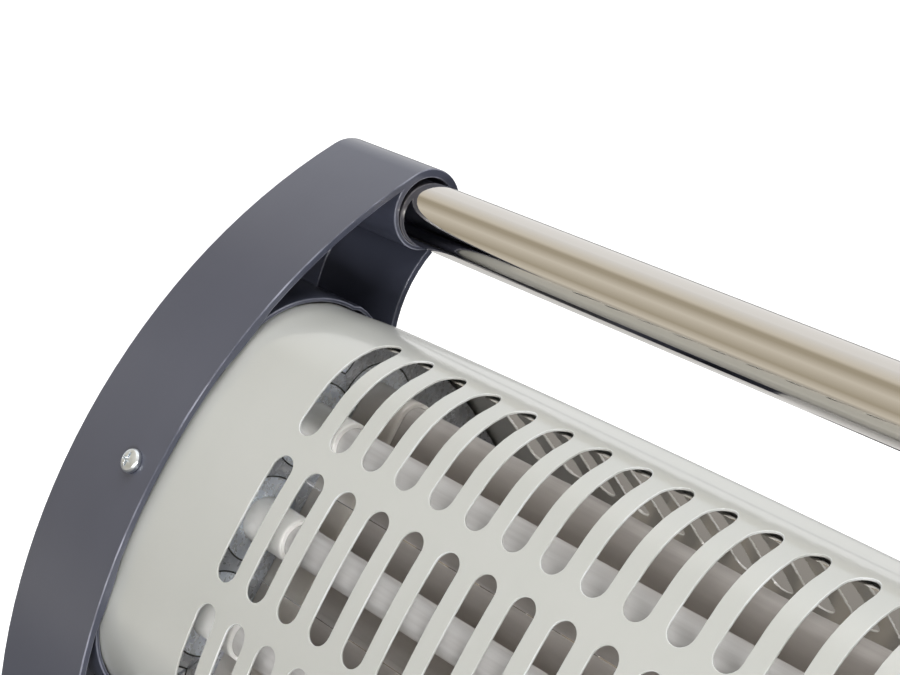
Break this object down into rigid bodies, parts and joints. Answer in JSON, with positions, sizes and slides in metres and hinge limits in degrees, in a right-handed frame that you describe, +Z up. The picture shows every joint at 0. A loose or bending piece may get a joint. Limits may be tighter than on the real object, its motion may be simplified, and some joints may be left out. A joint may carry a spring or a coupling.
{
  "type": "parabolic heater",
  "caption": "Free-standing parabolic heater: slotted sheet body with quartz elements in polished troughs, held between moulded end caps that stand on the floor, with a tube handle.",
  "frame": {"origin": "centre of the heater's box in X and Y, on the floor that the rubber feet stand on", "axes": "+X along the heater towards the end with the selector knob, -Y the front that the grille faces, +Z up"},
  "size_m": [0.4608, 0.172, 0.2502],
  "materials": {
    "cap_plastic": "satin moulded",
    "handle_chrome": "polished",
    "dark_plastic": "moulded",
    "body_paint": "warm light grey gloss enamel",
    "polished_reflector": "mirror polished",
    "galvanised_plate": "galvanised with spangle",
    "frosted_quartz": "frosted",
    "heating_wire": "oxidised resistance wire",
    "ceramic": "steatite, unglazed",
    "brass_terminals": "plain",
    "lead_sleeve": "woven sleeve over wire",
    "switch_body": "phenolic",
    "white_nylon": "nylon",
    "plunger_plastic": "acetal",
    "foot_rubber": "moulded rubber",
    "zinc_steel": "zinc plated"
  },
  "bodies": {
    "frame": {"left_end_cap": "cap_plastic", "right_end_cap": "cap_plastic", "handle_tube": "handle_chrome", "left_handle_plug": "dark_plastic", "right_handle_plug": "dark_plastic", "handle_screws": "zinc_steel", "front_grille": "body_paint", "rear_housing": "body_paint", "housing_screws": "zinc_steel", "left_cap_screws": "zinc_steel", "right_cap_screws": "zinc_steel", "reflector_top": "polished_reflector", "reflector_middle": "polished_reflector", "reflector_bottom": "polished_reflector", "left_element_plate": "galvanised_plate", "right_element_plate": "galvanised_plate", "quartz_tube_top": "frosted_quartz", "quartz_tube_middle": "frosted_quartz", "quartz_tube_bottom": "frosted_quartz", "heating_coil_top": "heating_wire", "heating_coil_middle": "heating_wire", "heating_coil_bottom": "heating_wire", "left_ceramic_top": "ceramic", "left_ceramic_middle": "ceramic", "left_ceramic_bottom": "ceramic", "right_ceramic_top": "ceramic", "right_ceramic_middle": "ceramic", "right_ceramic_bottom": "ceramic", "left_terminal_pins": "brass_terminals", "right_terminal_pins": "brass_terminals", "terminal_nuts": "brass_terminals", "left_link_bar": "brass_terminals", "selector_leads": "lead_sleeve", "return_lead": "lead_sleeve", "supply_leads": "lead_sleeve", "selector_switch": "switch_body", "selector_nut": "zinc_steel", "tip_switch_housing": "white_nylon", "plunger_spring": "zinc_steel", "tip_microswitch": "dark_plastic", "thermal_cutout": "switch_body", "cutout_screws": "zinc_steel", "terminal_block": "white_nylon", "terminal_block_screws": "zinc_steel", "cord_gland": "dark_plastic", "gland_nut": "dark_plastic", "right_leg_cover": "cap_plastic", "leg_cover_screws": "zinc_steel", "left_feet": "foot_rubber", "right_feet": "foot_rubber"},
    "selector": {"selector_shaft": "zinc_steel", "selector_knob": "dark_plastic"},
    "tip_plunger": {"tip_switch_plunger": "plunger_plastic"}
  },
  "joints": [
    {"name": "selector_turn", "type": "hinge", "parent": "frame", "child": "selector", "pos_m": [0.21257, -0.01556, 0.15565], "axis": [-1, 0, 0], "range_deg": [0, 135]},
    {"name": "tip_plunger_slide", "type": "slide", "parent": "frame", "child": "tip_plunger", "axis": [0, 0, -1], "range_m": [0, 0.005], "stiffness_N_per_m": 60, "springref_m": 0.012, "deforming": ["plunger_spring"]}
  ]
}
